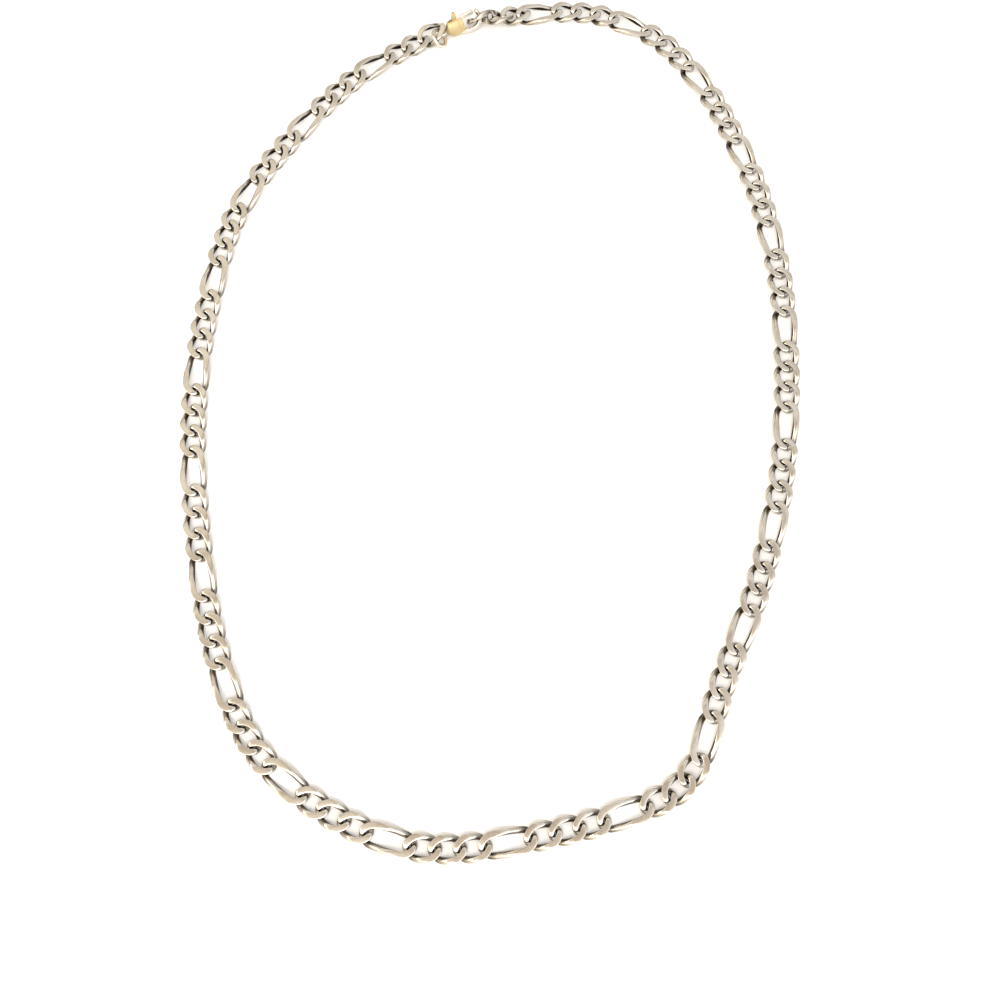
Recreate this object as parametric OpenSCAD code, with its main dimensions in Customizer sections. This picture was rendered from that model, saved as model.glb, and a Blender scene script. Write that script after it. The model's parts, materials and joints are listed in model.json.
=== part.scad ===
// Figaro neck chain with a lobster clasp, fastened and lying in a loop on a table.
// All sizes are in millimetres. The chain repeats one long and three short links.
// The loop's route is a smooth curve, and every link is laid along it in order.

/* [View] */
// Piece to draw

/* [Links] */
// Wire thickness of the links
wire_d = 1.5; // [1.35:0.05:1.6]
// Width over a link
link_w = 6.2; // [6:0.1:7]
// Inner length of a short link
short_inner = 5.6; // [5.4:0.1:6.2]
// Inner length of a long link
long_inner = 10; // [9:0.1:12]
// Play between one link and the next
link_play = 0.25; // [0.2:0.05:0.3]
// Thickness over the ground flats of a link
link_t = 1.72; // [1.6:0.02:1.9]
// Repeats of one long and three short links
repeats = 22; // [18:1:26]

/* [Jump ring] */
// Wire thickness of the jump ring
ring_wire_d = 1; // [0.8:0.05:1.1]
// Outer diameter of the jump ring
ring_od = 5.4; // [5.2:0.1:5.8]

/* [Clasp] */
// Length of the clasp from tail eye to hook
clasp_len = 13; // [12.5:0.1:14]
// Width of the clasp's gold body
body_w = 4.5; // [4.2:0.1:4.8]
// Thickness of the clasp's gold body
body_t = 3; // [2.8:0.1:3.2]
// Thickness of the lever
lever_t = 1.1; // [1:0.05:1.2]
// Wire thickness of the tail eye
eye_wire_d = 0.8; // [0.7:0.05:0.9]
// Diameter of the lever's pin
pin_d = 0.7; // [0.6:0.05:0.8]

/* [Hidden] */

// Clearance between parts that move or are pinned
fit_gap = 0.1;
// How far the loop runs from the last link to the first, over ring and clasp
clasp_span = 7;

// Chosen points of the loop, clockwise from the clasp's hook, as x and y
route = [
  [-9.9, 138.4], [4.2, 140.6], [18.5, 142], [29.3, 140.3], [42.8, 133.2],
  [53.7, 119.3], [60.8, 103.9], [67, 84], [70.6, 58.6], [70.1, 31.9],
  [66.6, 5.5], [59.4, -20], [49, -44.1], [44.9, -56.5], [40.6, -64],
  [33.9, -68.3], [14.3, -74.1], [-11.9, -78], [-31.6, -73.2], [-52.5, -58.5],
  [-64, -35.2], [-71, -4.7], [-73.9, 21.3], [-73.4, 47.4], [-68.1, 77.5],
  [-55.1, 100.6], [-39.2, 119.9], [-26.7, 128.9]
];

// Links that lie off the route, a row for each: number of the link from the clasp, or
// -1 for the last, shift along, left and up in mm, then turn, roll and pitch in degrees
laid_off = [
  [0, 1.95, -1.7, 2.15, -4.5, -66, 10],
  [1, 1.4, -1.25, 1.45, 5.5, -22, -7],
  [2, 0.9, -0.25, 0.5, 10, -7, -5],
  [40, 0, -0.25, 0.4, -5, 9, -3],
  [41, 0.1, -0.15, 0.25, 2.5, 3, -3.5],
  [42, 0, -0.1, 0.1, 1, 1, -1],
  [-1, -0.32, -0.2, 1.1, 0, 4, 15.5]
];

// Route as a closed smooth curve
route_n = len(route);
route_steps = 10;
function wrap(i) = (i + route_n) % route_n;
function curve(a, b, c, d, t) =
  b + 0.5 * t * (c - a + t * (2 * a - 5 * b + 4 * c - d + t * (3 * (b - c) + d - a)));
function route_at(i, t) =
  curve(route[wrap(i - 1)], route[wrap(i)], route[wrap(i + 1)], route[wrap(i + 2)], t);
curve_pts = [
  for (i = [0 : route_n - 1]) for (s = [0 : route_steps - 1]) route_at(i, s / route_steps)
];
curve_n = len(curve_pts);
function curve_pt(i) = curve_pts[i % curve_n];
curve_len = [
  for (i = 0, a = 0; i <= curve_n; a = a + norm(curve_pt(i + 1) - curve_pt(i)), i = i + 1) a
];

// Links in order from the hook: three short, one long, and so on to the ring
link_n = 4 * round(repeats) + 3;
function is_long(k) = k % 4 == 3;
function inner(k) = is_long(k) ? long_inner : short_inner;
function span(k) = inner(k) - link_play;
start_at = [for (k = 0, a = 0; k <= link_n; a = a + span(k), k = k + 1) a];
run = start_at[link_n];

// The curve is scaled so that links and clasp fill it once
loop_k = (run + clasp_span) / curve_len[curve_n];
x_table = [for (i = [0 : curve_n]) [curve_len[i] * loop_k, curve_pt(i)[0] * loop_k]];
y_table = [for (i = [0 : curve_n]) [curve_len[i] * loop_k, curve_pt(i)[1] * loop_k]];
mid_x = (max([for (p = x_table) p[1]]) + min([for (p = x_table) p[1]])) / 2;
mid_y = (max([for (p = y_table) p[1]]) + min([for (p = y_table) p[1]])) / 2;
function loop_pt(s) = [lookup(s, x_table) - mid_x, lookup(s, y_table) - mid_y];

// Place of link k: middle and heading of the piece of route that it spans
function link_mid(k) = (loop_pt(start_at[k]) + loop_pt(start_at[k + 1])) / 2;
function link_dir(k) = loop_pt(start_at[k + 1]) - loop_pt(start_at[k]);
function link_yaw(k) = atan2(link_dir(k)[1], link_dir(k)[0]);
function off_row(k) = [for (r = laid_off) if (r[0] == k || r[0] == k - link_n) r];
function off(k, i) = len(off_row(k)) > 0 ? off_row(k)[0][i] : 0;

// Twist of a link: its end wires cross the next link's with the play between
end_r = (link_w - wire_d) / 2;
half_t = link_t / 2;
cross_x = (wire_d + link_play) / 2;
cross_y = sqrt(cross_x * (2 * end_r - cross_x));
cross_turn = asin(1.2 * cross_x / cross_y);
function tip_x(a) = (a + wire_d) / 2;
function twist(a, x) = -cross_turn * x / (tip_x(a) - cross_x);

// Centre line of a flat link: each entry is a point and its outward direction
side_n = 6;
bend_n = 5;
function straight_n(a) = a > 1.5 * short_inner ? 3 : 1;
// The bends' corners stand out a little, so that their flats meet the true round
bend_k = 1.05;
function outline(a) = [
  for (side = [1, -1])
    each concat(
      [for (i = [0 : bend_n]) let (t = 90 - i * 180 / bend_n)
        [[side * (tip_x(a) - end_r + end_r * bend_k * cos(t)), side * end_r * sin(t)],
         [side * cos(t), side * sin(t)]]],
      [for (i = [1 : 1 : straight_n(a) - 1]) let (u = 1 - 2 * i / straight_n(a))
        [[side * u * (tip_x(a) - end_r), -side * end_r], [0, -side]]])
];
function turned(p, t) = [p[0], p[1] * cos(t) - p[2] * sin(t), p[1] * sin(t) + p[2] * cos(t)];
function flattened(p) = [p[0], p[1], min(half_t, max(-half_t, p[2]))];
function wire_pt(a, q, t) =
  let (x = q[0][0] + wire_d / 2 * cos(t) * q[1][0])
  let (y = q[0][1] + wire_d / 2 * cos(t) * q[1][1])
  flattened(turned([x, y, wire_d / 2 * sin(t)], twist(a, x)));

// Closed tube: rings of points joined round, the last ring to the first
function tube_faces(rings, sides) = [
  for (i = [0 : rings - 1]) for (j = [0 : sides - 1])
    let (i2 = (i + 1) % rings, j2 = (j + 1) % sides)
    each [[i * sides + j, i2 * sides + j, i2 * sides + j2],
          [i * sides + j, i2 * sides + j2, i * sides + j2]]
];

// Open tube: the same, with a flat cap on each end
function rod_faces(rings, sides) = concat(
  [for (i = [0 : rings - 2]) for (j = [0 : sides - 1])
    let (j2 = (j + 1) % sides)
    each [[i * sides + j, (i + 1) * sides + j, (i + 1) * sides + j2],
          [i * sides + j, (i + 1) * sides + j2, i * sides + j2]]],
  [[for (j = [0 : sides - 1]) j]],
  [[for (j = [0 : sides - 1]) rings * sides - 1 - j]]
);

module link(a) {
  path = outline(a);
  pts = [for (q = path) for (j = [0 : side_n - 1]) wire_pt(a, q, j * 360 / side_n)];
  polyhedron(points = pts, faces = tube_faces(len(path), side_n), convexity = 6);
}

module laid_link(k) {
  p = link_mid(k);
  translate([p[0], p[1], half_t])
    rotate([0, 0, link_yaw(k)])
      translate([off(k, 1), off(k, 2), off(k, 3)])
        rotate([off(k, 5), -off(k, 6), off(k, 4)])
          link(inner(k));
}

// The chain is cut in two nodes between two links at the foot of the loop
cut_at = 41;

module chain_right() {
  color([0.86, 0.83, 0.78])
    for (k = [0 : cut_at - 1]) laid_link(k);
}

module chain_left() {
  color([0.86, 0.83, 0.78])
    for (k = [cut_at : link_n - 1]) laid_link(k);
}

// Clasp in its own frame: x from tail to hook, y across towards the lever, z through
// its thickness. The frame's zero is the tail end of the eye.
hook_x = clasp_len - 0.7;
body_x0 = 2;
body_x1 = 7.4;
body_len = body_x1 - body_x0;
body_y = 0.15;
claw_x0 = body_x1 - 0.4;
pivot = [body_x0 + 0.535 * body_len, 0.2 * body_w];
lever_y = 0.385 * body_w;
lever_w = 0.39 * body_t;
slot_w = lever_w + 2 * fit_gap;
root_r = 0.75;

// Gold body: along as a share of its length, then width and thickness as shares
body_rows = [
  [0, 0.22, 0.3], [0.1, 0.38, 0.52], [0.17, 0.58, 0.74], [0.25, 0.82, 0.88],
  [0.36, 0.94, 0.96], [0.5, 0.99, 1], [0.66, 1, 1], [0.78, 0.99, 1], [0.81, 0.92, 0.93],
  [0.84, 0.99, 1], [1, 0.95, 0.95]
];
// Claw: along from its root as a share of the way to the hook's bend, then across
// and wire radius in mm
claw_rows = [
  [-0.28, -0.95, 0.78], [-0.04, -1.7, 0.74], [0.22, -2.35, 0.68], [0.48, -2.5, 0.64],
  [0.74, -2.15, 0.62], [0.92, -1.35, 0.62], [1, -0.3, 0.6], [0.98, 0.7, 0.58],
  [0.92, 1.5, 0.52], [0.9, 1.85, 0.4]
];
body_side_n = 20;
claw_side_n = 8;

module loft_body() {
  pts = [for (r = body_rows) for (j = [0 : body_side_n - 1])
    let (t = j * 360 / body_side_n)
    [body_x0 + r[0] * body_len, (body_y + body_w / 2 * cos(t)) * r[1], body_t / 2 * r[2] * sin(t)]];
  polyhedron(points = pts, faces = rod_faces(len(body_rows), body_side_n), convexity = 4);
}

function claw_pt(i) =
  let (r = claw_rows[min(len(claw_rows) - 1, max(0, i))])
  [claw_x0 + r[0] * (hook_x - claw_x0), r[1]];

module claw() {
  pts = [for (i = [0 : len(claw_rows) - 1]) for (j = [0 : claw_side_n - 1])
    let (t = j * 360 / claw_side_n)
    let (way = claw_pt(i + 1) - claw_pt(i - 1))
    let (out = [-way[1], way[0]] / norm(way))
    let (r = claw_rows[i][2])
    [claw_pt(i)[0] + r * cos(t) * out[0], claw_pt(i)[1] + r * cos(t) * out[1], r * sin(t)]];
  polyhedron(points = pts, faces = rod_faces(len(claw_rows), claw_side_n), convexity = 6);
}

eye_r = 1.2;
module tail_eye() {
  translate([eye_r, 0, 0])
    rotate([90, 0, 0])
      rotate_extrude($fn = 28)
        translate([eye_r, 0])
          circle(d = eye_wire_d, $fn = 14);
}

module lever_slot() {
  translate([body_x0 + 0.36 * body_len, pivot[1] - root_r - fit_gap, -slot_w / 2])
    cube([body_len, body_w, slot_w]);
}

// Middle of the stretch of the loop that the ring and the clasp take up
gap_mid = loop_pt(run + clasp_span / 2);

// The clasp lies tilted on its claw, with the lever's side up
clasp_shift = [-3.74, -3.24];
clasp_at = [gap_mid[0] + clasp_shift[0], gap_mid[1] + clasp_shift[1], 1.2];
clasp_turn = [60, -13, 21];
module in_clasp() {
  translate(clasp_at)
    rotate(clasp_turn)
      children();
}

module clasp_body() {
  color([0.86, 0.76, 0.5])
    in_clasp()
      difference() {
        union() {
          loft_body();
          claw();
          tail_eye();
        }
        lever_slot();
        translate([pivot[0], pivot[1], -body_t])
          cylinder(h = 2 * body_t, d = pin_d + 0.1, $fn = 24);
      }
}

module clasp_pin() {
  color([0.8, 0.8, 0.78])
    in_clasp()
      translate([pivot[0], pivot[1], -0.44 * body_t])
        cylinder(h = 0.88 * body_t, d = pin_d, $fn = 24);
}

lever_end = claw_x0 + 0.9 * (hook_x - claw_x0) - 0.4 - 0.25 - lever_t / 2;
module clasp_lever() {
  color([0.88, 0.86, 0.82])
    in_clasp()
      difference() {
        translate([0, 0, -lever_w / 2])
          linear_extrude(lever_w) {
            hull() {
              translate(pivot) circle(r = root_r, $fn = 24);
              translate([claw_x0 - 0.5, lever_y]) circle(d = lever_t, $fn = 24);
            }
            hull() {
              translate([claw_x0 - 0.5, lever_y]) circle(d = lever_t, $fn = 24);
              translate([lever_end, lever_y]) circle(d = lever_t, $fn = 24);
            }
            hull() {
              translate([pivot[0] + 0.5, lever_y]) circle(d = 1.5, $fn = 24);
              translate([pivot[0] + 1, pivot[1] + 2.4]) circle(d = 0.9, $fn = 24);
            }
          }
        translate([pivot[0], pivot[1], -body_t])
          cylinder(h = 2 * body_t, d = pin_d + 0.14, $fn = 24);
      }
}

// Jump ring through the last link and the tail eye
ring_shift = [-3.39, -4.79];
ring_at = [gap_mid[0] + ring_shift[0], gap_mid[1] + ring_shift[1], 2.05];
ring_turn = [13, 44, 14];
module jump_ring() {
  color([0.85, 0.84, 0.8])
    translate(ring_at)
      rotate(ring_turn)
        rotate_extrude($fn = 40)
          translate([(ring_od - ring_wire_d) / 2, 0])
            circle(d = ring_wire_d, $fn = 16);
}

chain_left();
chain_right();
jump_ring();
clasp_body();
clasp_lever();
clasp_pin();
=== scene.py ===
"""Figaro neck chain with a lobster clasp, fastened and lying in a loop on a pale table.

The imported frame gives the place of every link, of the ring and of the clasp's hinge.
Smooth links, ring, clasp and lever are built there in mesh code and ride on its bodies.
Sizes are in metres, and the values that a user would change are in the property groups.
"""

import json
import math

import bmesh
import bpy
import numpy as np
from bpy.props import FloatProperty, FloatVectorProperty, IntProperty, PointerProperty
from mathutils import Euler, Matrix, Vector


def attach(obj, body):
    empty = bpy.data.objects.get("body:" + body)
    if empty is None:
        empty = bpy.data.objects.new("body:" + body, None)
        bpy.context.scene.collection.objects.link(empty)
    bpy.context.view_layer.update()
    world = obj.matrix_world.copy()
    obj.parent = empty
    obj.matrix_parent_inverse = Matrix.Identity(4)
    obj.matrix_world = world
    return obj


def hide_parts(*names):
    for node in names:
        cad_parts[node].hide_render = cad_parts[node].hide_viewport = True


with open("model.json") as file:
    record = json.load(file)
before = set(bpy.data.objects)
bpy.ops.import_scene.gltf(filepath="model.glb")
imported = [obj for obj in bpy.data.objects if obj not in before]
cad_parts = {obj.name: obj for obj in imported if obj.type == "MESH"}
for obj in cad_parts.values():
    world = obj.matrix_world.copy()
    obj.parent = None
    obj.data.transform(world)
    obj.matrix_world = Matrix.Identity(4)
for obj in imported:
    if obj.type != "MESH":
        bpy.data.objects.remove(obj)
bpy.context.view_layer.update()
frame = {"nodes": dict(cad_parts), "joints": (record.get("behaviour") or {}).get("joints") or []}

bl_info = {
    "name": "Figaro Neck Chain",
    "version": (1, 0, 0),
    "blender": (4, 5, 0),
    "location": "View3D > Sidebar > Neck Chain",
    "description": "Builds a figaro chain with its lobster clasp over the packed frame",
    "category": "Mesh",
}

MM = 0.001
SAME_PLACE = 0.001 * MM  # points closer together than this are one
SHADE_MASK = "polish"  # mesh attribute: the painted-shade mask, 1 where the metal is left bright, 0 where painted shade is darkest


def linear(hex_colour):
    """Turns an sRGB hex colour, such as #E8DFD0, into linear red, green and blue."""
    parts = [int(hex_colour[i : i + 2], 16) / 255 for i in (1, 3, 5)]
    return tuple(c / 12.92 if c <= 0.04045 else ((c + 0.055) / 1.055) ** 2.4 for c in parts)


# ---------------------------------------------------------------- settings


class LinkSizes(bpy.types.PropertyGroup):
    """Sizes of the chain's links and of the jump ring."""

    wire: FloatProperty(
        name="Wire", description="Wire thickness of a link", default=1.5 * MM, unit="LENGTH"
    )
    width: FloatProperty(
        name="Width", description="Width over a link", default=6.2 * MM, unit="LENGTH"
    )
    short_inner: FloatProperty(
        name="Short link",
        description="Inner length of a short link",
        default=5.6 * MM,
        unit="LENGTH",
    )
    long_inner: FloatProperty(
        name="Long link", description="Inner length of a long link", default=10 * MM, unit="LENGTH"
    )
    play: FloatProperty(
        name="Play",
        description="Play between one link and the next",
        default=0.25 * MM,
        unit="LENGTH",
    )
    thickness: FloatProperty(
        name="Thickness",
        description="Thickness over the ground flats",
        default=1.72 * MM,
        unit="LENGTH",
    )
    flat_depth: FloatProperty(
        name="Flat depth",
        description="How much taller the wire was before grinding, as a factor",
        default=1.2,
    )
    flat_sharpness: FloatProperty(
        name="Flat sharpness",
        description="How crisply a flat ends, from 3 soft to 20 sharp",
        default=3.4,
    )
    wire_sides: IntProperty(
        name="Wire sides", description="Faces round a link's wire", default=24
    )
    bend_steps: IntProperty(
        name="Bend steps", description="Steps round each end of a link", default=24
    )


class ClaspSizes(bpy.types.PropertyGroup):
    """Sizes of the lobster clasp, in its own frame: x from tail to hook, y to the lever."""

    turn: FloatVectorProperty(
        name="Turn",
        description="How the clasp lies, as turns about X, Y and Z",
        default=[math.radians(a) for a in (60, -13, 21)],
        subtype="EULER",
    )
    length: FloatProperty(
        name="Length", description="From tail eye to hook", default=13 * MM, unit="LENGTH"
    )
    body_start: FloatProperty(
        name="Body start", description="Where the gold body starts", default=2 * MM, unit="LENGTH"
    )
    body_end: FloatProperty(
        name="Body end", description="Where the gold body ends", default=7.4 * MM, unit="LENGTH"
    )
    body_width: FloatProperty(
        name="Body width", description="Width of the gold body", default=4.5 * MM, unit="LENGTH"
    )
    body_thickness: FloatProperty(
        name="Body thickness",
        description="Thickness of the gold body",
        default=3 * MM,
        unit="LENGTH",
    )
    eye_radius: FloatProperty(
        name="Eye radius",
        description="Radius of the tail eye's centre line",
        default=1.2 * MM,
        unit="LENGTH",
    )
    eye_wire: FloatProperty(
        name="Eye wire",
        description="Wire thickness of the tail eye",
        default=0.8 * MM,
        unit="LENGTH",
    )
    pin: FloatProperty(
        name="Pin", description="Diameter of the lever's pin", default=0.7 * MM, unit="LENGTH"
    )
    gap: FloatProperty(
        name="Gap", description="Clearance beside the lever", default=0.1 * MM, unit="LENGTH"
    )
    bar: FloatProperty(
        name="Bar", description="Width of the lever's bar", default=1.1 * MM, unit="LENGTH"
    )


class Finishes(bpy.types.PropertyGroup):
    """Colours and gloss of the metals."""

    silver: FloatVectorProperty(
        name="Silver", description="Polished silver", default=linear("#E2DACC"), subtype="COLOR"
    )
    silver_dull: FloatVectorProperty(
        name="Handled silver",
        description="Silver where it is handled",
        default=linear("#CDC4B4"),
        subtype="COLOR",
    )
    # Painted shade: the dark colour put on the links' walls and crossings in place of their shade
    # and dark reflections
    painted_shade: FloatVectorProperty(
        name="Tarnish",
        description="Silver where the wheel didn't reach",
        default=linear("#2E2620"),
        subtype="COLOR",
    )
    gold: FloatVectorProperty(
        name="Gold", description="Gold plate", default=linear("#D1BF93"), subtype="COLOR"
    )
    gold_dull: FloatVectorProperty(
        name="Handled gold",
        description="Gold plate where it is handled",
        default=linear("#C2AB7B"),
        subtype="COLOR",
    )
    polish: FloatProperty(
        name="Polish", description="Roughness of the polished silver", default=0.16, min=0, max=1
    )
    satin: FloatProperty(
        name="Satin", description="Roughness of the satin gold", default=0.55, min=0, max=1
    )


class StageSettings(bpy.types.PropertyGroup):
    """Table, light and camera."""

    table: FloatVectorProperty(
        name="Table", description="Pale table top", default=linear("#FAF9F7"), subtype="COLOR"
    )
    aim: FloatVectorProperty(
        name="Aim",
        description="Point that the camera looks at",
        default=(1.66 * MM, -31.91 * MM, 0.86 * MM),
        subtype="TRANSLATION",
    )
    distance: FloatProperty(
        name="Distance", description="Camera to its aim", default=246 * MM, unit="LENGTH"
    )
    elevation: FloatProperty(
        name="Elevation",
        description="Camera's height over the table",
        default=math.radians(72),
        subtype="ANGLE",
    )
    lens: FloatProperty(
        name="Lens", description="Focal length on a 36 mm sensor, in mm", default=37.8
    )


# ---------------------------------------------------------------- mesh code


def quads(rings, sides, closed):
    """Faces of a tube whose points run round each ring in turn."""
    last = rings if closed else rings - 1
    ring, side = np.meshgrid(np.arange(last), np.arange(sides), indexing="ij")
    after, beside = (ring + 1) % rings, (side + 1) % sides
    here, there = ring * sides, after * sides
    corners = (here + side, there + side, there + beside, here + beside)
    return np.stack(corners, axis=-1).reshape(-1, 4)


def make_piece(name, points, faces, body, material, smooth_angle=None, polish=None):
    """Makes a mesh object in the row frame that rides on a body.

    polish gives for each point the painted-shade mask, from 0, darkest painted shade, to 1, none.
    """
    mesh = bpy.data.meshes.new(name)
    mesh.from_pydata([tuple(p) for p in points], [], [tuple(int(i) for i in f) for f in faces])
    shape = bmesh.new()
    shape.from_mesh(mesh)
    bmesh.ops.recalc_face_normals(shape, faces=shape.faces)
    shape.to_mesh(mesh)
    shape.free()
    mesh.polygons.foreach_set("use_smooth", [True] * len(mesh.polygons))
    mesh.update()
    if smooth_angle is not None:
        mesh.set_sharp_from_angle(angle=smooth_angle)
    # Stores the mask that says where painted shade darkens the silver
    if polish is not None:
        mesh.attributes.new(SHADE_MASK, "FLOAT", "POINT").data.foreach_set("value", polish)
    mesh.materials.append(material)
    piece = bpy.data.objects.new(name, mesh)
    bpy.context.scene.collection.objects.link(piece)
    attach(piece, body)
    return piece


def solids_of(node):
    """Splits a CAD node into its loose solids, each as its triangles' corners."""
    mesh = frame["nodes"][node].data
    mesh.calc_loop_triangles()
    points = np.empty(len(mesh.vertices) * 3)
    mesh.vertices.foreach_get("co", points)
    points = points.reshape(-1, 3)
    corners = np.empty(len(mesh.loop_triangles) * 3, dtype=int)
    mesh.loop_triangles.foreach_get("vertices", corners)
    # Corners at one place, to 0.001 mm, are one point
    places, same = np.unique(np.round(points / MM, 3), axis=0, return_inverse=True)
    same = same.ravel()
    triangles = same[corners].reshape(-1, 3)
    # The points of a triangle take the lowest label among them, until no label changes
    label = np.arange(len(places))
    while True:
        lowest = np.repeat(label[triangles].min(axis=1), 3)
        spread = label.copy()
        np.minimum.at(spread, triangles.ravel(), lowest)
        if (spread == label).all():
            break
        label = spread
    groups = label[triangles[:, 0]]
    at = points[corners].reshape(-1, 3, 3)
    return [at[groups == g] for g in np.unique(groups)]


def pose_of(solid):
    """Centre and main directions of a solid, longest first, from its volume's moments."""
    a, b, c = solid[:, 0], solid[:, 1], solid[:, 2]
    start = a.mean(axis=0)
    a, b, c = a - start, b - start, c - start
    # Each triangle makes a tetrahedron with the start
    volume = np.einsum("ij,ij->i", a, np.cross(b, c)) / 6
    whole = a + b + c
    centre = (volume[:, None] * whole).sum(axis=0) / (4 * volume.sum())
    spread = sum(np.einsum("i,ij,ik->jk", volume, p, p) for p in (a, b, c, whole)) / 20
    spread = spread / volume.sum() - np.outer(centre, centre)
    ways = np.linalg.eigh(spread)[1][:, ::-1]
    if np.linalg.det(ways) < 0:
        ways[:, 2] *= -1
    return start + centre, ways


def reach(solid, centre, way):
    """How far a solid reaches along a direction, both ways taken together."""
    along = (solid.reshape(-1, 3) - centre) @ way
    return along.max() - along.min()


def curve_through(rows, steps):
    """Points of a smooth curve through rows of numbers, ends included."""
    rows = np.asarray(rows, float)
    padded = np.vstack([2 * rows[0] - rows[1], rows, 2 * rows[-1] - rows[-2]])
    made = []
    for a, b, c, d in zip(padded, padded[1:], padded[2:], padded[3:]):
        slope, bow, twist = c - a, 2 * a - 5 * b + 4 * c - d, 3 * (b - c) + d - a
        made += [b + 0.5 * t * (slope + t * (bow + t * twist)) for t in np.arange(steps) / steps]
    return np.array(made + [rows[-1]])


# ---------------------------------------------------------------- materials


def add_node(tree, kind, inputs=(), **settings):
    """Adds a node, sets its settings, and gives its inputs values or links."""
    node = tree.nodes.new(kind)
    for name, value in settings.items():
        setattr(node, name, value)
    for name, value in dict(inputs).items():
        if isinstance(value, bpy.types.NodeSocket):
            tree.links.new(value, node.inputs[name])
        else:
            node.inputs[name].default_value = value
    return node


MIX_A, MIX_B, MIX_RESULT = 6, 7, 2  # a mix node's colour sockets, whose names aren't unique
WEAR_PATCH = 4 * MM  # a patch dulled by handling
WAVE_HEIGHT = 0.06 * MM  # the faint waves that polishing leaves
SCRATCH_LENGTH, SCRATCH_WIDTH = 0.6 * MM, 0.12 * MM
SCRATCH_SLANT = (0.2, 0.3, 0.6)  # turns about X, Y and Z
SMOOTHEST, ROUGHEST = 0.8, 1.4  # as shares of a metal's own roughness
LACQUER_GRAIN = 1.5 * MM


def polished_metal(name, bright, dull, roughness, shade_colour=None):
    """Polished metal with fine wear.

    Cast and tumbled metal keeps faint waves from polishing and hair scratches from
    wear. The waves bend the reflections a little, and the scratches spread them.
    Where a shade colour is given, it is painted as shade where the polish attribute is low: on the
    links' side walls, most in their holes and where one link lies under or over the next.
    """
    material = bpy.data.materials.get(name)
    if material is not None:
        return material
    material = bpy.data.materials.new(name)
    material.use_nodes = True
    tree = material.node_tree
    tree.nodes.clear()
    place = add_node(tree, "ShaderNodeTexCoord")
    # Handling dulls patches here and there
    wear = add_node(
        tree, "ShaderNodeTexNoise",
        {
            "Vector": place.outputs["Object"], "Scale": 1 / WEAR_PATCH,
            "Detail": 3, "Roughness": 0.55,
        },
    )
    tint = add_node(tree, "ShaderNodeValToRGB", {"Fac": wear.outputs["Fac"]})
    clean, handled = tint.color_ramp.elements
    clean.position, clean.color = 0.42, (*bright, 1)
    handled.position, handled.color = 0.72, (*dull, 1)
    colour = tint.outputs["Color"]
    # Painted shade: the dark colour is mixed in where the polish attribute is low, in place of the
    # shade and dark reflections on the links' walls and crossings
    if shade_colour is not None:
        unshaded = add_node(tree, "ShaderNodeAttribute", attribute_name=SHADE_MASK)
        edge = add_node(
            tree, "ShaderNodeMapRange",
            {"Value": unshaded.outputs["Fac"], "From Min": 0.42, "From Max": 0.88},
            interpolation_type="SMOOTHSTEP",
        )
        mix = add_node(
            tree, "ShaderNodeMix",
            {"Factor": edge.outputs["Result"], MIX_A: (*shade_colour, 1), MIX_B: colour},
            data_type="RGBA",
        )
        colour = mix.outputs[MIX_RESULT]
    # Hair scratches are about 0.02 mm wide; drawn 0.12 mm wide so that they show
    slimness = SCRATCH_LENGTH / SCRATCH_WIDTH
    stretch = add_node(
        tree, "ShaderNodeMapping",
        {
            "Vector": place.outputs["Object"], "Rotation": SCRATCH_SLANT,
            "Scale": (1, slimness, 1),
        },
    )
    scratches = add_node(
        tree, "ShaderNodeTexNoise",
        {
            "Vector": stretch.outputs["Vector"], "Scale": 1 / SCRATCH_LENGTH,
            "Detail": 2, "Roughness": 0.6,
        },
    )
    gloss = add_node(
        tree, "ShaderNodeMapRange",
        {
            "Value": scratches.outputs["Fac"], "From Min": 0.3, "From Max": 0.75,
            "To Min": SMOOTHEST * roughness, "To Max": ROUGHEST * roughness,
        },
    )
    waves = add_node(
        tree, "ShaderNodeBump",
        {"Height": wear.outputs["Fac"], "Strength": 0.25, "Distance": WAVE_HEIGHT},
    )
    shader = add_node(
        tree, "ShaderNodeBsdfPrincipled",
        {
            "Base Color": colour, "Metallic": 1.0,
            "Roughness": gloss.outputs["Result"], "Normal": waves.outputs["Normal"],
        },
    )
    add_node(tree, "ShaderNodeOutputMaterial", {"Surface": shader.outputs["BSDF"]})
    return material


def silver_of(finishes):
    """Polished sterling silver: bright and a little warm, it mirrors table and light."""
    return polished_metal(
        "sterling_silver_polished", finishes.silver, finishes.silver_dull, finishes.polish
    )


def link_silver_of(finishes):
    """Sterling silver, ground and tumbled: bright flats, and walls darkened by painted shade."""
    return polished_metal(
        "sterling_silver_painted_shade", finishes.silver, finishes.silver_dull, finishes.polish,
        finishes.painted_shade,
    )


def gold_of(finishes):
    """Gold plate over cast metal, brushed to a satin: a soft yellow sheen with no mirror."""
    return polished_metal("gold_plate_satin", finishes.gold, finishes.gold_dull, finishes.satin)


def table_top(colour):
    """Matt lacquered board: pale and even, with no mirror. The lacquer's grain is drawn coarse."""
    material = bpy.data.materials.new("lacquered_board_matt")
    material.use_nodes = True
    tree = material.node_tree
    tree.nodes.clear()
    place = add_node(tree, "ShaderNodeTexCoord")
    grain = add_node(
        tree, "ShaderNodeTexNoise",
        {"Vector": place.outputs["Object"], "Scale": 1 / LACQUER_GRAIN, "Detail": 2},
    )
    matt = add_node(
        tree, "ShaderNodeMapRange",
        {"Value": grain.outputs["Fac"], "To Min": 0.75, "To Max": 0.9},
    )
    shader = add_node(
        tree, "ShaderNodeBsdfPrincipled",
        {"Base Color": (*colour, 1), "Roughness": matt.outputs["Result"]},
    )
    add_node(tree, "ShaderNodeOutputMaterial", {"Surface": shader.outputs["BSDF"]})
    return material


# ---------------------------------------------------------------- links


CROSS_SPREAD = 1.2  # how far two crossing wires stand apart, as a share of wire and play


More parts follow.
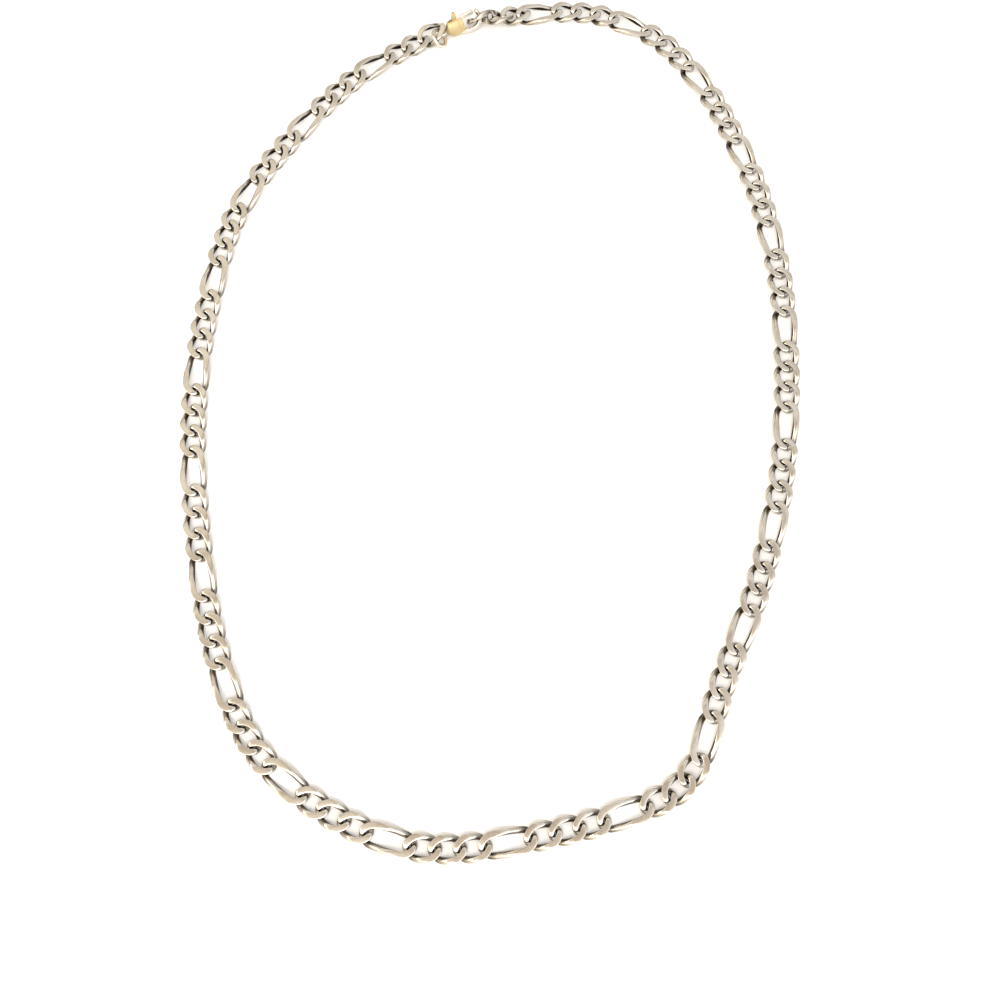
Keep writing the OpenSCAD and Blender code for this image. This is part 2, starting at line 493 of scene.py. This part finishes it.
def link_surface(inner, sizes, straight_steps):
    """Twisted link with ground flats: its points ring by ring, their painted-shade mask, and its
    rings.
    """
    wire_r = sizes.wire / 2
    end_r = sizes.width / 2 - wire_r
    tip = inner / 2 + wire_r
    # Where the next link's wire crosses this one, and the twist that lets it pass
    cross_x = (sizes.wire + sizes.play) / 2
    cross_y = math.sqrt(cross_x * (2 * end_r - cross_x))
    cross_turn = math.asin(CROSS_SPREAD * cross_x / cross_y)
    half = sizes.thickness / 2
    bend = math.pi / 2 - np.arange(sizes.bend_steps + 1) * math.pi / sizes.bend_steps
    slide = (1 - 2 * np.arange(1, straight_steps) / straight_steps) * (tip - end_r)
    centres, outward = [], []
    for side in (1, -1):
        for t in bend:
            x, y = math.cos(t), math.sin(t)
            centres.append((side * (tip - end_r + end_r * x), side * end_r * y))
            outward.append((side * x, side * y))
        centres += [(side * x, -side * end_r) for x in slide]
        outward += [(0, -side)] * len(slide)
    centres, outward = np.array(centres), np.array(outward)
    round_wire = np.arange(sizes.wire_sides) * 2 * math.pi / sizes.wire_sides
    out = wire_r * np.cos(round_wire)[None, :, None] * outward[:, None, :]
    plan = centres[:, None, :] + out
    x, y = plan[..., 0], plan[..., 1]
    z = np.broadcast_to(wire_r * np.sin(round_wire), x.shape)

    def turn_at(place):
        """Twist of the link at a place along it."""
        return -cross_turn * place / (tip - cross_x)

    turn = turn_at(x)
    y, z = y * np.cos(turn) - z * np.sin(turn), y * np.sin(turn) + z * np.cos(turn)
    # The flats are ground at half the thickness, with edges rounded by polishing
    z = z * sizes.flat_depth
    z = z / (1 + np.abs(z / half) ** sizes.flat_sharpness) ** (1 / sizes.flat_sharpness)
    points = np.stack([x, y, z], axis=-1)
    along = np.roll(points, -1, axis=0) - np.roll(points, 1, axis=0)
    across = np.roll(points, -1, axis=1) - np.roll(points, 1, axis=1)
    normal = np.cross(along, across)
    normal /= np.linalg.norm(normal, axis=-1)[..., None]
    if (normal[..., :2] * out).sum() < 0:
        normal = -normal
    # Painted-shade mask for each point, which darkens walls and crossings
    polish = painted_shade_mask(normal, centres, outward, turn_at(centres[:, 0]))
    return points.reshape(-1, 3), polish, len(centres)


OUTER_UNSHADED = 0.72  # how bright a link's outer wall stays next to its flats, against the painted shade
UNDER_LINK_SHADE = 0.5  # how much more painted shade goes where the next link lies over the wire


def painted_shade_mask(normal, centres, outward, turn):
    """Painted-shade mask for each point of a link, from 0, darkest painted shade, to 1, none.

    Tops, bottoms and outer walls stay bright. The walls of the hole, and the places at
    the ends that lie under or over the next link, get painted shade.
    the ends that lie under or over the next link.
    """
    x, y = outward.T
    away = np.stack([x, y * np.cos(turn), y * np.sin(turn)], axis=-1)
    outer = (normal * away[:, None, :]).sum(axis=-1)
    height = centres[:, 1] * np.sin(turn)
    depth = -normal[..., 2] * height[:, None] / np.abs(height).max()
    unshaded = np.hypot(normal[..., 2], OUTER_UNSHADED * np.maximum(0, outer))
    unshaded = unshaded - UNDER_LINK_SHADE * np.maximum(0, depth) ** 3
    return np.clip(unshaded, 0, 1).ravel()


def lay_links(node, name, sizes, material):
    """Builds a CAD chain node's links as one smooth piece, each in its own place."""
    short_straight, long_straight = 8, 18
    shapes = {
        inner: link_surface(inner, sizes, steps)
        for inner, steps in (
            (sizes.short_inner, short_straight), (sizes.long_inner, long_straight)
        )
    }
    points, faces, polish, count = [], [], [], 0
    for solid in solids_of(node):
        centre, ways = pose_of(solid)
        length = reach(solid, centre, ways[:, 0])
        inner = min(shapes, key=lambda a: abs(a + 2 * sizes.wire - length))
        surface, unshaded, rings = shapes[inner]
        polish.append(unshaded)
        points.append(surface @ ways.T + centre)
        faces.append(quads(rings, sizes.wire_sides, closed=True) + count)
        count += len(surface)
    piece = make_piece(
        name, np.vstack(points), np.vstack(faces), "necklace", material,
        polish=np.concatenate(polish),
    )
    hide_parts(node)


class NECKCHAIN_OT_links(bpy.types.Operator):
    """Lays the smooth links of both halves of the chain"""

    bl_idname = "neckchain.links"
    bl_label = "Links"

    def execute(self, context):
        settings = context.scene.neckchain_links
        silver = link_silver_of(context.scene.neckchain_finishes)
        for side in ("left", "right"):
            lay_links("chain_" + side, "links_" + side, settings, silver)
        return {"FINISHED"}


# ---------------------------------------------------------------- jump ring


def torus(radius, wire_radius, rings, sides):
    """Points of a round wire ring about Z, ring by ring."""
    about = np.arange(rings) * 2 * math.pi / rings
    wire = np.arange(sides) * 2 * math.pi / sides
    far = radius + wire_radius * np.cos(wire)[None, :]
    x, y = far * np.cos(about)[:, None], far * np.sin(about)[:, None]
    z = np.broadcast_to(wire_radius * np.sin(wire), x.shape)
    return np.stack([x, y, z], axis=-1).reshape(-1, 3)


class NECKCHAIN_OT_jump_ring(bpy.types.Operator):
    """Bends the jump ring between the last link and the clasp's eye"""

    bl_idname = "neckchain.jump_ring"
    bl_label = "Jump Ring"

    def execute(self, context):
        rings, sides = 96, 28
        solid = solids_of("jump_ring")[0]
        centre, ways = pose_of(solid)
        wire = reach(solid, centre, ways[:, 2])
        outer = reach(solid, centre, ways[:, 0])
        points = torus((outer - wire) / 2, wire / 2, rings, sides) @ ways.T + centre
        silver = silver_of(context.scene.neckchain_finishes)
        faces = quads(rings, sides, closed=True)
        piece = make_piece("ring_wire", points, faces, "necklace", silver)
        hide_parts("jump_ring")
        return {"FINISHED"}


# ---------------------------------------------------------------- clasp

# Gold body: along as a share of its length, then width and thickness as shares
BODY_ROWS = (
    (0, 0.22, 0.3), (0.04, 0.28, 0.38), (0.1, 0.38, 0.52), (0.17, 0.58, 0.74), (0.25, 0.82, 0.88),
    (0.36, 0.94, 0.96), (0.5, 0.99, 1), (0.66, 1, 1), (0.77, 0.99, 1), (0.79, 0.93, 0.95),
    (0.815, 0.93, 0.95), (0.84, 0.99, 1), (0.95, 0.97, 0.975), (0.985, 0.94, 0.95),
    (1, 0.87, 0.89),
)
BODY_RISE = 0.15 * MM  # how far the body's middle lies towards the lever
# Claw: along from its root as a share of the way to the hook's bend, then across and
# wire radius in mm
CLAW_ROWS = (
    (-0.28, -0.95, 0.78), (-0.04, -1.7, 0.74), (0.22, -2.35, 0.68), (0.48, -2.5, 0.64),
    (0.74, -2.15, 0.62), (0.92, -1.35, 0.62), (1, -0.3, 0.6), (0.98, 0.7, 0.58),
    (0.935, 1.3, 0.54), (0.915, 1.55, 0.5),
)
CLAW_ROOT = 0.4 * MM  # how far inside the body the claw's rows start
HOOK_INSET = 0.7 * MM  # from the hook's outside to its middle line
LEVER_SHARE = 0.39  # lever's thickness as a share of the body's
LEVER_ACROSS = 0.385  # where the lever's arm lies, as a share of the body's width
PIVOT_SHARE = (0.535, 0.2)  # hinge: along the body, and across as a share of its width
ROOT_RADIUS = 0.75 * MM  # of the lever's round root
LEVER_REACH = 0.9  # how far the lever reaches along the claw
LEVER_SHORT = 0.65 * MM  # what it then stays short of the claw's tip
LEVER_EDGE = 0.2 * MM  # rounding of the lever's edges
NECK_ALONG, NECK_ACROSS = 0.4, 0.55  # lever's neck, as shares of the way from root to bar
PIN_PLAY = 0.07 * MM  # between the pin and the lever's hole
PIN_SHARE = 0.88  # pin's length as a share of the body's thickness
# Pin's riveted head: radius and height as shares, from the top down
PIN_HEAD = ((0.55, 1), (0.8, 0.97), (0.94, 0.91), (1, 0.82))
SLOT_SHARE = 0.36  # where the slot starts, as a share of the body's length
SLOT_EDGE = 0.08 * MM  # rounding of the slot's edges
# Thumb knob: its foot from the pivot and from the lever's middle, its tip from the pivot
KNOB_FOOT, KNOB_TIP = (0.68 * MM, 0.5 * MM), (1 * MM, 2.4 * MM)
FOOT_RADIUS, TIP_RADIUS = 0.68 * MM, 0.5 * MM
# Its rounded side: share of the outline's size, and height as a share of half the lever
KNOB_SIDE = ((0.62, -1.06), (0.84, -1.02), (0.95, -0.88), (1, -0.6))


def pivot_of(sizes):
    """The lever's hinge in the clasp's own frame."""
    body_length = sizes.body_end - sizes.body_start
    return (sizes.body_start + PIVOT_SHARE[0] * body_length, PIVOT_SHARE[1] * sizes.body_width, 0)


def clasp_frame(sizes):
    """Place of the clasp in the row frame: its turn, and the hinge where the frame has it."""
    turn = Euler(sizes.turn, "XYZ").to_matrix()
    hinge = Vector(frame["joints"][0]["pos_m"])
    pivot = Vector(pivot_of(sizes))
    return Matrix.Translation(hinge - turn @ pivot) @ turn.to_4x4()


def in_frame(points, place):
    """Points of the clasp's own frame, in the row frame."""
    place = np.array(place)
    return np.asarray(points) @ place[:3, :3].T + place[:3, 3]


def capped(points, faces, rings, sides):
    """Closes an open tube with a fan at each end."""
    first, last = len(points), len(points) + 1
    grid = points.reshape(rings, sides, 3)
    points = np.vstack([points, grid[0].mean(axis=0), grid[-1].mean(axis=0)])
    side = np.arange(sides)
    beside = (side + 1) % sides
    end = (rings - 1) * sides
    faces = [tuple(f) for f in faces]
    faces += [(first, j, k) for j, k in zip(side, beside)]
    faces += [(last, end + k, end + j) for j, k in zip(side, beside)]
    return points, faces


def body_surface(sizes, sides):
    """Gold body as a smooth loft, closed at both ends."""
    rows = curve_through(BODY_ROWS, 4)
    around = np.arange(sides) * 2 * math.pi / sides
    length = sizes.body_end - sizes.body_start
    x = np.repeat(sizes.body_start + rows[:, :1] * length, sides, axis=1)
    y = rows[:, 1:2] * (BODY_RISE + sizes.body_width / 2 * np.cos(around))
    z = sizes.body_thickness / 2 * rows[:, 2:3] * np.sin(around)
    points = np.stack([x, y, z], axis=-1).reshape(-1, 3)
    return capped(points, quads(len(rows), sides, closed=False), len(rows), sides)


def claw_surface(sizes, sides):
    """Claw as a tapering bent rod with a rounded tip."""
    hook = sizes.length - HOOK_INSET
    rows = curve_through(CLAW_ROWS, 8)
    root = sizes.body_end - CLAW_ROOT
    centre = np.stack([root + rows[:, 0] * (hook - root), rows[:, 1] * MM], axis=-1)
    radius = rows[:, 2] * MM
    way = np.gradient(centre, axis=0)
    way /= np.linalg.norm(way, axis=1)[:, None]
    # The dome at the tip ends just short of its pole, which the cap then closes
    tip_steps, left_open = 8, 0.2
    dome = np.sin(np.arange(1, tip_steps + 1) * math.pi / 2 / (tip_steps + left_open))
    centre = np.vstack([centre, centre[-1] + dome[:, None] * radius[-1] * way[-1]])
    radius = np.append(radius, radius[-1] * np.sqrt(1 - dome**2))
    way = np.vstack([way, np.repeat(way[-1:], tip_steps, axis=0)])
    out = np.stack([-way[:, 1], way[:, 0]], axis=-1)
    around = np.arange(sides) * 2 * math.pi / sides
    plan = centre[:, None, :] + (radius[:, None] * np.cos(around))[..., None] * out[:, None, :]
    z = radius[:, None] * np.sin(around)
    points = np.concatenate([plan, z[..., None]], axis=-1).reshape(-1, 3)
    return capped(points, quads(len(centre), sides, closed=False), len(centre), sides)


def eye_surface(sizes, rings, sides):
    """Tail eye: a wire ring that stands across the clasp."""
    points = torus(sizes.eye_radius, sizes.eye_wire / 2, rings, sides)
    points = points[:, [0, 2, 1]] + (sizes.eye_radius, 0, 0)
    return points, quads(rings, sides, closed=True)[:, ::-1]


def bake_modifiers(piece):
    """Replaces a piece's mesh by the one that its modifiers make."""
    bpy.context.view_layer.update()
    seen = piece.evaluated_get(bpy.context.evaluated_depsgraph_get())
    mesh = bpy.data.meshes.new_from_object(seen)
    piece.modifiers.clear()
    piece.data = mesh
    # A bevel leaves points on top of each other where its strips meet
    shape = bmesh.new()
    shape.from_mesh(mesh)
    bmesh.ops.remove_doubles(shape, verts=shape.verts, dist=SAME_PLACE)
    bmesh.ops.dissolve_degenerate(shape, edges=shape.edges, dist=SAME_PLACE)
    shape.to_mesh(mesh)
    shape.free()


def cut_away(piece, shape, place):
    """Cuts a shape of the clasp's own frame out of a piece, before its other modifiers."""
    bmesh.ops.transform(shape, matrix=place, verts=shape.verts)
    mesh = bpy.data.meshes.new("cutter")
    shape.to_mesh(mesh)
    shape.free()
    cutter = bpy.data.objects.new("cutter", mesh)
    bpy.context.scene.collection.objects.link(cutter)
    cut = piece.modifiers.new("cut", "BOOLEAN")
    cut.object = cutter
    cut.operation = "DIFFERENCE"
    cut.solver = "EXACT"
    piece.modifiers.move(len(piece.modifiers) - 1, 0)
    bake_modifiers(piece)
    bpy.data.objects.remove(cutter)
    bpy.data.meshes.remove(mesh)


def cut_slot(piece, sizes, place):
    """Cuts the lever's slot into the gold body and rounds its edges."""
    pivot = pivot_of(sizes)
    half = LEVER_SHARE * sizes.body_thickness / 2 + sizes.gap
    start = sizes.body_start + SLOT_SHARE * (sizes.body_end - sizes.body_start)
    low = Vector((start, pivot[1] - ROOT_RADIUS - sizes.gap, -half))
    high = Vector((start + sizes.body_end, low.y + sizes.body_width, half))
    shape = bmesh.new()
    bmesh.ops.create_cube(shape, size=1)
    bmesh.ops.scale(shape, vec=high - low, verts=shape.verts)
    bmesh.ops.translate(shape, vec=(low + high) / 2, verts=shape.verts)
    edge = piece.modifiers.new("edge", "BEVEL")
    edge.width = SLOT_EDGE
    edge.segments = 2
    edge.limit_method = "ANGLE"
    edge.angle_limit = math.radians(50)
    cut_away(piece, shape, place)


class NECKCHAIN_OT_clasp(bpy.types.Operator):
    """Builds the clasp's gold body with its slot, the claw, the tail eye and the pin"""

    bl_idname = "neckchain.clasp"
    bl_label = "Clasp"

    def execute(self, context):
        sizes = context.scene.neckchain_clasp
        finishes = context.scene.neckchain_finishes
        silver, gold = silver_of(finishes), gold_of(finishes)
        place = clasp_frame(sizes)
        points, faces = body_surface(sizes, sides=48)
        points, smooth = in_frame(points, place), math.radians(40)
        shell = make_piece("clasp_shell", points, faces, "necklace", gold, smooth)
        cut_slot(shell, sizes, place)
        shell.data.set_sharp_from_angle(angle=smooth)
        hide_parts("clasp_body")
        for name, (points, faces) in (
            ("clasp_claw", claw_surface(sizes, sides=24)),
            ("tail_eye", eye_surface(sizes, rings=72, sides=24)),
        ):
            piece = make_piece(name, in_frame(points, place), faces, "necklace", silver)
            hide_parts("clasp_body")
        self.set_pin(sizes, place, silver)
        return {"FINISHED"}

    @staticmethod
    def set_pin(sizes, place, material):
        """Sets the pin, with heads rounded by riveting."""
        sides, half = 32, PIN_SHARE * sizes.body_thickness / 2
        rows = [*PIN_HEAD, *((share, -height) for share, height in reversed(PIN_HEAD))]
        around = np.arange(sides) * 2 * math.pi / sides
        points = []
        for share, height in rows:
            radius = share * sizes.pin / 2
            points += [(radius * math.cos(t), radius * math.sin(t), height * half) for t in around]
        points = np.array(points) + np.array(pivot_of(sizes))
        faces = quads(len(rows), sides, closed=False)[:, ::-1]
        points, faces = capped(points, faces, len(rows), sides)
        piece = make_piece(
            "lever_pin", in_frame(points, place), faces, "necklace", material
        )
        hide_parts("clasp_pin")


def lever_surface(sizes):
    """Lever: a bar with rounded edges that bends down to a wider root, as points and faces."""
    pivot = pivot_of(sizes)
    across, half = LEVER_ACROSS * sizes.body_width, LEVER_SHARE * sizes.body_thickness / 2
    claw, bar = sizes.body_end - CLAW_ROOT, sizes.bar / 2
    end = claw + LEVER_REACH * (sizes.length - HOOK_INSET - claw) - LEVER_SHORT - bar
    # Rows of the lever's middle line: along, across and half width
    neck = (
        pivot[0] + NECK_ALONG * (claw - pivot[0]),
        pivot[1] + NECK_ACROSS * (across - pivot[1]),
        ROOT_RADIUS + NECK_ACROSS * (bar - ROOT_RADIUS),
    )
    rows = curve_through((
        (pivot[0], pivot[1], ROOT_RADIUS), neck, (claw - 0.4 * bar, across, bar),
        ((claw + end) / 2, across, bar), (end, across, bar),
    ), 6)
    spine, radius = rows[:, :2], rows[:, 2]
    way = np.gradient(spine, axis=0)
    lean = np.unwrap(np.arctan2(way[:, 1], way[:, 0]))
    steps = 12
    turn = np.arange(1, steps) * math.pi / steps
    # Once around: up the right side, round the end, back on the left, round the root
    last = len(rows) - 1
    which = [
        *range(last + 1), *[last] * (steps - 1), *reversed(range(last + 1)), *[0] * (steps - 1)
    ]
    angle = np.concatenate([
        lean - math.pi / 2, lean[-1] - math.pi / 2 + turn,
        lean[::-1] + math.pi / 2, lean[0] + math.pi / 2 + turn,
    ])
    out = np.stack([np.cos(angle), np.sin(angle)], axis=-1)
    rim = np.radians((0, 22.5, 45, 67.5, 90))
    inset = LEVER_EDGE * (1 - np.cos(rim))
    height = half - LEVER_EDGE * (1 - np.sin(rim))
    inset = np.concatenate([inset[::-1], inset])
    height = np.concatenate([-height[::-1], height])
    count = len(which)
    layers = []
    for step, z in zip(inset, height):
        plan = spine[which] + out * (radius[which] - step)[:, None]
        layers.append(np.column_stack([plan, np.full(count, z)]))
    points = np.vstack(layers)
    faces = [tuple(f) for f in quads(len(inset), count, closed=False)]
    top = (len(inset) - 1) * count
    faces += [tuple(reversed(range(count))), tuple(range(top, top + count))]
    return points, faces


def knob_surface(sizes):
    """Thumb knob: a rounded fin that stands up from the lever, as points and faces."""
    pivot = pivot_of(sizes)
    foot = Vector((pivot[0], LEVER_ACROSS * sizes.body_width)) + Vector(KNOB_FOOT)
    tip = Vector(pivot[:2]) + Vector(KNOB_TIP)
    half = LEVER_SHARE * sizes.body_thickness / 2
    up = (tip - foot).normalized()
    lean = math.atan2(up.y, up.x)
    steps = 14
    quarter = math.pi / 2
    outline = []
    for centre, radius, start in ((tip, TIP_RADIUS, -quarter), (foot, FOOT_RADIUS, quarter)):
        for i in range(steps + 1):
            angle = lean + start + i * math.pi / steps
            outline.append(centre + radius * Vector((math.cos(angle), math.sin(angle))))
    outline = np.array(outline)
    middle = outline.mean(axis=0)
    layers = [*KNOB_SIDE, *((share, -height) for share, height in reversed(KNOB_SIDE))]
    count = len(outline)
    points = np.vstack([
        np.column_stack([middle + (outline - middle) * share, np.full(count, height * half)])
        for share, height in layers
    ])
    return capped(points, quads(len(layers), count, closed=False), len(layers), count)


class NECKCHAIN_OT_lever(bpy.types.Operator):
    """Builds the silver lever with the hole for its pin, and the gold thumb knob on it"""

    bl_idname = "neckchain.lever"
    bl_label = "Lever"

    def execute(self, context):
        silver = silver_of(context.scene.neckchain_finishes)
        sizes = context.scene.neckchain_clasp
        place = clasp_frame(sizes)
        points, faces = lever_surface(sizes)
        points, smooth = in_frame(points, place), math.radians(35)
        arm = make_piece("lever_arm", points, faces, "lever", silver, smooth)
        hole = bmesh.new()
        bmesh.ops.create_cone(
            hole, segments=32, depth=sizes.body_thickness,
            radius1=sizes.pin / 2 + PIN_PLAY, radius2=sizes.pin / 2 + PIN_PLAY,
        )
        bmesh.ops.translate(hole, vec=Vector(pivot_of(sizes)), verts=hole.verts)
        cut_away(arm, hole, place)
        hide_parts("clasp_lever")
        points, faces = knob_surface(sizes)
        knob = make_piece(
            "lever_knob", in_frame(points, place), faces, "lever",
            gold_of(context.scene.neckchain_finishes),
        )
        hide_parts("clasp_lever")
        return {"FINISHED"}


# ---------------------------------------------------------------- stage


# Softboxes: metres to the right, ahead and up from the aim, width in metres, and watts
LIGHTS = (
    ("key_light", -0.06, -0.38, 0.68, 0.4, 1.6),
    ("left_light", -0.55, 0, 0.4, 0.3, 0.8),
)
LAMP_COLOUR = "#FFFEFC"


def light_area(name, location, aim, size, power, colour):
    """Adds a soft square light that faces a point."""
    data = bpy.data.lights.new(name, "AREA")
    data.shape = "SQUARE"
    data.size = size
    data.energy = power
    data.color = colour
    lamp = bpy.data.objects.new(name, data)
    lamp.location = location
    lamp.rotation_euler = (Vector(aim) - Vector(location)).to_track_quat("-Z", "Y").to_euler()
    bpy.context.scene.collection.objects.link(lamp)


# The room as the metal mirrors it, from the table's level up: height and colour
ROOM = (
    (0.0, "#D2CFCB"), (0.14, "#6E6A66"), (0.26, "#B4B0AA"), (0.36, "#FFFFFD"), (0.5, "#B6B0A9"),
    (0.62, "#DEDBD6"), (0.74, "#F5F3EF"), (0.86, "#C2B8AF"), (1.0, "#B4A89E"),
)
ROOM_LEFT, ROOM_RIGHT = "#F1E9DB", "#EDF3FF"  # a warm wall on the left, a cool one on the right
ROOM_GAIN = 1.44  # brightness of the room behind the chain
FRONT_GAIN = 2.2  # how much brighter the room is on the camera's side


def room_light():
    """Bright room, brightest in front: a warm ceiling, and walls with a darker band low down."""
    world = bpy.data.worlds.new("studio")
    world.use_nodes = True
    tree = world.node_tree
    tree.nodes.clear()
    place = add_node(tree, "ShaderNodeTexCoord")
    split = add_node(tree, "ShaderNodeSeparateXYZ", {"Vector": place.outputs["Generated"]})
    # Soft patches, about 16 degrees wide, as a real ceiling and walls give
    patches = add_node(
        tree, "ShaderNodeTexNoise",
        {"Vector": place.outputs["Generated"], "Scale": 3.5, "Detail": 1},
    )
    shift = add_node(
        tree, "ShaderNodeMapRange",
        {"Value": patches.outputs["Fac"], "To Min": -0.4, "To Max": 0.4},
    )
    # The patches fade out towards the horizon, which stays plain
    fade = add_node(
        tree, "ShaderNodeMapRange",
        {"Value": split.outputs["Z"], "From Min": 0.3, "From Max": 0.55},
    )
    patchy = add_node(
        tree, "ShaderNodeMath",
        {0: shift.outputs["Result"], 1: fade.outputs["Result"]},
        operation="MULTIPLY",
    )
    level = add_node(
        tree, "ShaderNodeMath", {0: split.outputs["Z"], 1: 0.8, 2: patchy.outputs["Value"]},
        operation="MULTIPLY_ADD",
    )
    sky = add_node(tree, "ShaderNodeValToRGB", {"Fac": level.outputs["Value"]})
    ramp = sky.color_ramp
    while len(ramp.elements) < len(ROOM):
        ramp.elements.new(0.5)
    for element, (position, colour) in zip(ramp.elements, ROOM):
        element.position = position
        element.color = (*linear(colour), 1)
    across = add_node(
        tree, "ShaderNodeMapRange",
        {"Value": split.outputs["X"], "From Min": -0.6, "From Max": 0.6},
    )
    sides = add_node(
        tree, "ShaderNodeMix",
        {
            "Factor": across.outputs["Result"],
            MIX_A: (*linear(ROOM_LEFT), 1), MIX_B: (*linear(ROOM_RIGHT), 1),
        },
        data_type="RGBA",
    )
    tinted = add_node(
        tree, "ShaderNodeMix",
        {"Factor": 1.0, MIX_A: sky.outputs["Color"], MIX_B: sides.outputs[MIX_RESULT]},
        data_type="RGBA", blend_type="MULTIPLY",
    )
    gain = add_node(
        tree, "ShaderNodeMapRange",
        {
            "Value": split.outputs["Y"], "From Min": -0.4, "From Max": 0.08,
            "To Min": ROOM_GAIN * FRONT_GAIN, "To Max": ROOM_GAIN,
        },
        interpolation_type="SMOOTHSTEP",
    )
    glow = add_node(
        tree, "ShaderNodeBackground",
        {"Color": tinted.outputs[MIX_RESULT], "Strength": gain.outputs["Result"]},
    )
    add_node(tree, "ShaderNodeOutputWorld", {"Surface": glow.outputs["Background"]})
    bpy.context.scene.world = world


class NECKCHAIN_OT_stage(bpy.types.Operator):
    """Sets the table, the studio light and the camera"""

    bl_idname = "neckchain.stage"
    bl_label = "Stage"

    def execute(self, context):
        settings = context.scene.neckchain_stage
        self.lay_table(settings)
        room_light()
        aim = Vector(settings.aim)
        for name, side, ahead, up, width, power in LIGHTS:
            place = aim + Vector((side, ahead, up))
            light_area(name, place, aim, width, power, linear(LAMP_COLOUR))
        self.set_camera(settings, aim)
        context.scene.view_settings.view_transform = "Standard"
        return {"FINISHED"}

    @staticmethod
    def lay_table(settings):
        """Lays a wide flat board whose top is where the chain rests."""
        half, thick, steps = 3, 0.02, 2
        shape = bmesh.new()
        bmesh.ops.create_grid(shape, x_segments=steps, y_segments=steps, size=half)
        extruded = bmesh.ops.extrude_face_region(shape, geom=list(shape.faces))
        moved = [v for v in extruded["geom"] if isinstance(v, bmesh.types.BMVert)]
        bmesh.ops.translate(shape, vec=(0, 0, -thick), verts=moved)
        bmesh.ops.recalc_face_normals(shape, faces=shape.faces)
        mesh = bpy.data.meshes.new("table")
        shape.to_mesh(mesh)
        shape.free()
        mesh.materials.append(table_top(settings.table))
        table = bpy.data.objects.new("table", mesh)
        bpy.context.scene.collection.objects.link(table)

    @staticmethod
    def set_camera(settings, aim):
        """Puts the camera at the photograph's viewing angle."""
        data = bpy.data.cameras.new("camera")
        data.sensor_width = 36
        data.lens = settings.lens
        data.clip_start = 10 * MM
        camera = bpy.data.objects.new("camera", data)
        back = Vector((0, -math.cos(settings.elevation), math.sin(settings.elevation)))
        camera.location = aim + back * settings.distance
        camera.rotation_euler = (-back).to_track_quat("-Z", "Y").to_euler()
        bpy.context.scene.collection.objects.link(camera)
        bpy.context.scene.camera = camera


# ---------------------------------------------------------------- panel


class NECKCHAIN_PT_panel(bpy.types.Panel):
    """Lists the chain's pieces and their settings"""

    bl_label = "Neck Chain"
    bl_idname = "NECKCHAIN_PT_panel"
    bl_space_type = "VIEW_3D"
    bl_region_type = "UI"
    bl_category = "Neck Chain"

    def draw(self, context):
        for operator, group in PIECES:
            box = self.layout.box()
            box.operator(operator.bl_idname)
            settings = getattr(context.scene, group)
            for name in settings.bl_rna.properties.keys():
                if name not in ("rna_type", "name"):
                    box.prop(settings, name)


GROUPS = {
    "neckchain_links": LinkSizes,
    "neckchain_clasp": ClaspSizes,
    "neckchain_finishes": Finishes,
    "neckchain_stage": StageSettings,
}
PIECES = (
    (NECKCHAIN_OT_links, "neckchain_links"),
    (NECKCHAIN_OT_jump_ring, "neckchain_finishes"),
    (NECKCHAIN_OT_clasp, "neckchain_clasp"),
    (NECKCHAIN_OT_lever, "neckchain_clasp"),
    (NECKCHAIN_OT_stage, "neckchain_stage"),
)


def register():
    """Adds the settings to the scene, and the operators and the panel."""
    for group in GROUPS.values():
        bpy.utils.register_class(group)
    for name, group in GROUPS.items():
        setattr(bpy.types.Scene, name, PointerProperty(type=group))
    for operator, _ in PIECES:
        bpy.utils.register_class(operator)
    bpy.utils.register_class(NECKCHAIN_PT_panel)


def unregister():
    """Takes away what register added."""
    bpy.utils.unregister_class(NECKCHAIN_PT_panel)
    for operator, _ in reversed(PIECES):
        bpy.utils.unregister_class(operator)
    for name, group in reversed(GROUPS.items()):
        delattr(bpy.types.Scene, name)
        bpy.utils.unregister_class(group)


def main():
    """Builds every piece and the stage in turn."""
    register()
    bpy.ops.neckchain.links()
    bpy.ops.neckchain.jump_ring()
    bpy.ops.neckchain.clasp()
    bpy.ops.neckchain.lever()
    bpy.ops.neckchain.stage()


if __name__ == "__main__":
    main()
